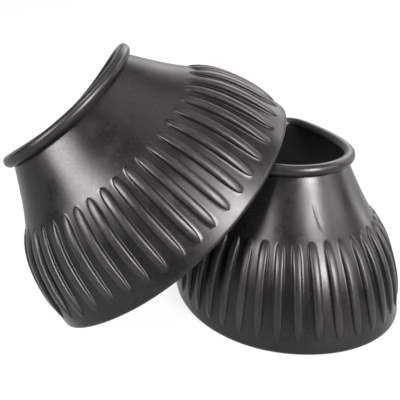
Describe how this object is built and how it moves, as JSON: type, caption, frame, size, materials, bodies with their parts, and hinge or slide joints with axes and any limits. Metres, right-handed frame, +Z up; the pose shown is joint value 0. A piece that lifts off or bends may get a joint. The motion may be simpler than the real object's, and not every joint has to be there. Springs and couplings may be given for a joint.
{
  "type": "bell boots",
  "caption": "Pull-on rubber bell boots with a rolled collar bead and flared, ribbed walls, set down standing and leaning together; they guard a horse's heels.",
  "frame": {"origin": "bottom centre of the resting pair's bounding box, on the floor", "axes": "+Z up, +X from the leaning boot to the standing boot, +Y away from the side that the collar of the standing boot shows over"},
  "size_m": [0.2586, 0.1819, 0.1711],
  "materials": {
    "boot_rubber": "satin moulded black rubber, lightly dusted on the ribs"
  },
  "bodies": {
    "standing": {"standing_boot": "boot_rubber"},
    "leaning": {"leaning_boot": "boot_rubber"}
  },
  "joints": [
    {"name": "leaning_boot_lift_off", "type": "slide", "parent": "standing", "child": "leaning", "axis": [-0.6756, 0.054, 0.7353], "range_m": [0, 0.16]}
  ]
}
